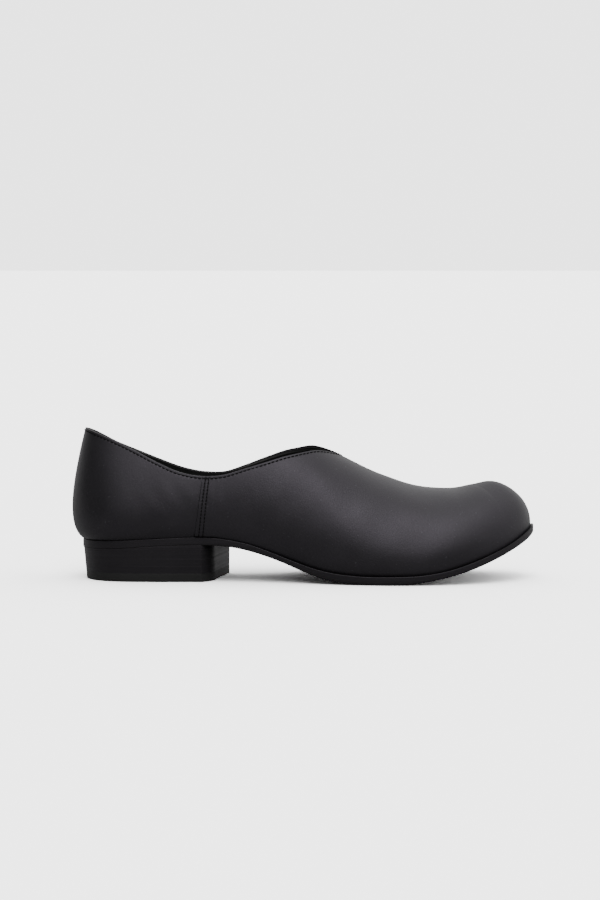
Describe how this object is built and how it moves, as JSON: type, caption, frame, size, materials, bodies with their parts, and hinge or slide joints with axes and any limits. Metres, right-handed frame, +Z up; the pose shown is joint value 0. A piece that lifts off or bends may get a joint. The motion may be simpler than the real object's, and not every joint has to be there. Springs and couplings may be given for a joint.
{
  "type": "slip-on leather shoe",
  "caption": "Low black leather slip-on shoe with a wide round toe, a deep scooped opening that rises to a peak at the back, a thin sole with toe spring and a low stacked heel.",
  "frame": {"origin": "centre of the shoe's box on the floor", "axes": "+X toward the toe, +Z up, -Y toward the outer side of the foot"},
  "size_m": [0.3, 0.1061, 0.098],
  "materials": {
    "upper_leather": "smooth satin calf, fine grain",
    "lining_leather": "matte black lining leather",
    "stiffener_board": "fibre board",
    "interlining_cloth": "woven cotton",
    "insole_board": "pressed leather board",
    "foam": "dense latex foam",
    "steel": "spring steel, brushed",
    "cork": "ground cork",
    "sole_leather": "burnished black edge",
    "heel_leather": "stacked leather, burnished black",
    "heel_rubber": "matte black rubber",
    "nail_steel": "plain steel",
    "thread": "black polyester thread"
  },
  "bodies": {
    "root": {"vamp": "upper_leather", "lateral_quarter": "upper_leather", "medial_quarter": "upper_leather", "vamp_lining": "lining_leather", "quarter_lining": "lining_leather", "toe_puff": "stiffener_board", "vamp_interlining": "interlining_cloth", "heel_counter": "stiffener_board", "topline_tape": "interlining_cloth", "insole_board": "insole_board", "sock_liner": "lining_leather", "heel_pad": "foam", "shank": "steel", "shank_rivets": "steel", "bottom_filler": "cork", "outsole": "sole_leather", "heel_rand": "heel_leather", "heel_lift_upper": "heel_leather", "heel_lift_middle": "heel_leather", "heel_lift_lower": "heel_leather", "top_piece": "heel_rubber", "heel_nails": "nail_steel", "top_piece_nails": "nail_steel", "topline_stitching": "thread", "side_seam_stitching": "thread"}
  },
  "joints": []
}
